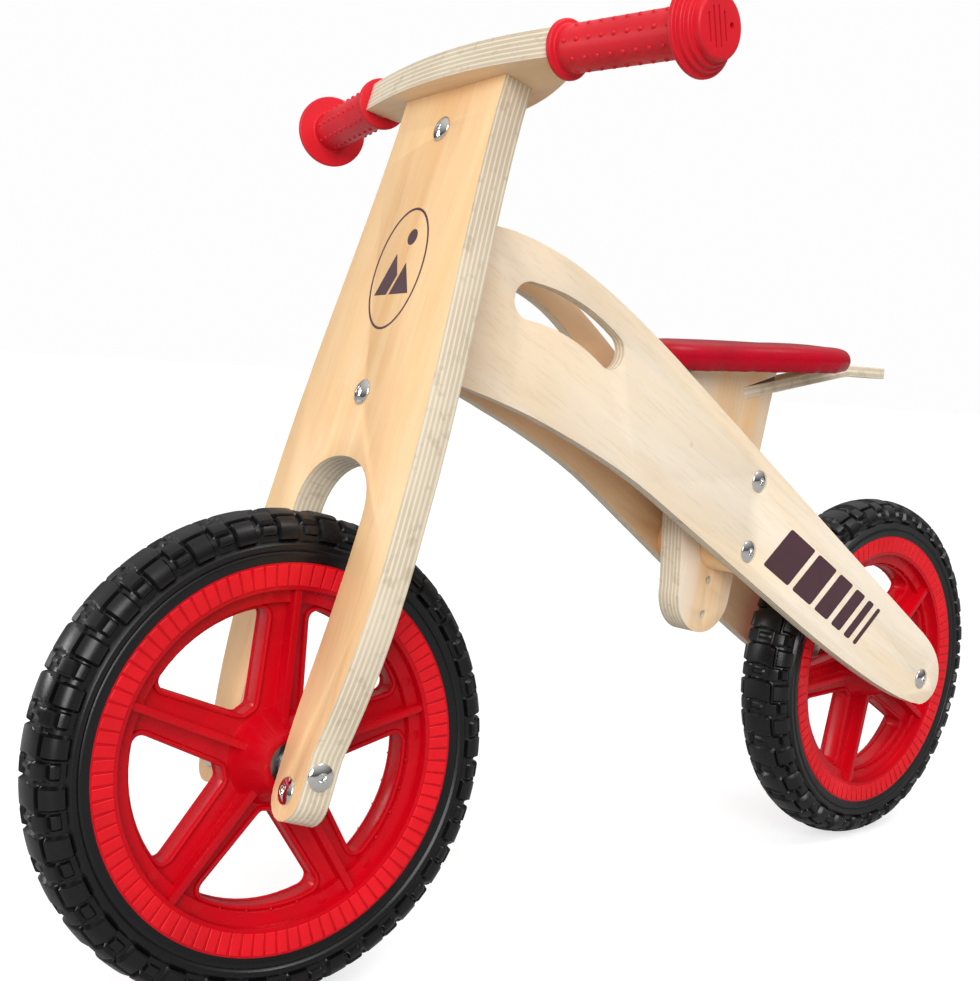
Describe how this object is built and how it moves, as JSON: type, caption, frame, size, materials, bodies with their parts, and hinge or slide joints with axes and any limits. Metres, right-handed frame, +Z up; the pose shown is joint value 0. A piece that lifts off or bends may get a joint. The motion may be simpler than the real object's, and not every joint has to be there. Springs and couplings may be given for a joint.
{
  "type": "balance bike",
  "caption": "Wooden balance bike with plywood fork and side panels, foam tyres on red spoked wheels, red safety grips and a padded red saddle.",
  "frame": {"origin": "on the ground, midway between the two axles when the bars are straight", "axes": "+X forward along the bike, +Y to the rider's left, +Z up"},
  "size_m": [0.9002, 0.4225, 0.5872],
  "materials": {
    "birch_panel": "pale rotary-cut birch plywood, clear matt lacquer, layered edges",
    "birch_plate": "warm tan birch plywood, clear satin lacquer, layered edges",
    "hardwood": "plain birch and beech blocks, clear matt lacquer",
    "dark_wood": "dark stained hardwood",
    "nylon": "natural nylon",
    "chrome": "bright plated steel",
    "steel": "bright zinc-plated steel",
    "red_rubber": "soft moulded red rubber with raised dimples, satin",
    "red_plastic": "moulded deep red plastic, semi-gloss",
    "black_foam": "moulded black EVA foam with a block tread",
    "red_vinyl": "padded glossy deep red vinyl"
  },
  "bodies": {
    "frame": {"left_side_panel": "birch_panel", "right_side_panel": "birch_panel", "head_block": "hardwood", "upper_bush": "nylon", "lower_bush": "nylon", "seat_post": "hardwood", "seat_spacers": "hardwood", "seat_bolts": "chrome", "seat_nuts": "chrome", "saddle_base": "hardwood", "saddle_pad": "red_vinyl", "saddle_screws": "steel", "tail_board": "birch_panel", "tail_wedge": "dark_wood", "rear_axle_sleeve": "steel", "rear_axle_bolts": "chrome", "rear_axle_spacers": "steel"},
    "fork": {"fork_plate": "birch_plate", "upper_fork_block": "hardwood", "lower_fork_block": "hardwood", "fork_bolts": "chrome", "fork_barrel_nuts": "steel", "steering_pin": "steel", "handlebar": "birch_panel", "handlebar_screws": "steel", "handlebar_dowels": "hardwood", "left_grip": "red_rubber", "right_grip": "red_rubber", "front_axle_sleeve": "steel", "front_axle_bolts": "chrome", "front_axle_spacers": "steel", "leg_bolts": "chrome", "leg_nuts": "chrome"},
    "front_wheel": {"front_rim": "red_plastic", "front_tyre": "black_foam", "front_bearings": "steel"},
    "rear_wheel": {"rear_rim": "red_plastic", "rear_tyre": "black_foam", "rear_bearings": "steel"}
  },
  "joints": [
    {"name": "steering", "type": "hinge", "parent": "frame", "child": "fork", "pos_m": [0.28086, 0, 0.13749], "axis": [-0.289, 0, 0.9573], "range_deg": [-36.9, 53.1]},
    {"name": "front_wheel_spin", "type": "hinge", "parent": "fork", "child": "front_wheel", "pos_m": [0.3055, -0.00366, 0.14493], "axis": [0.1349, 0.99, 0.0407], "continuous": true},
    {"name": "rear_wheel_spin", "type": "hinge", "parent": "frame", "child": "rear_wheel", "pos_m": [-0.30575, 0, 0.145], "axis": [0, 1, 0], "continuous": true}
  ]
}
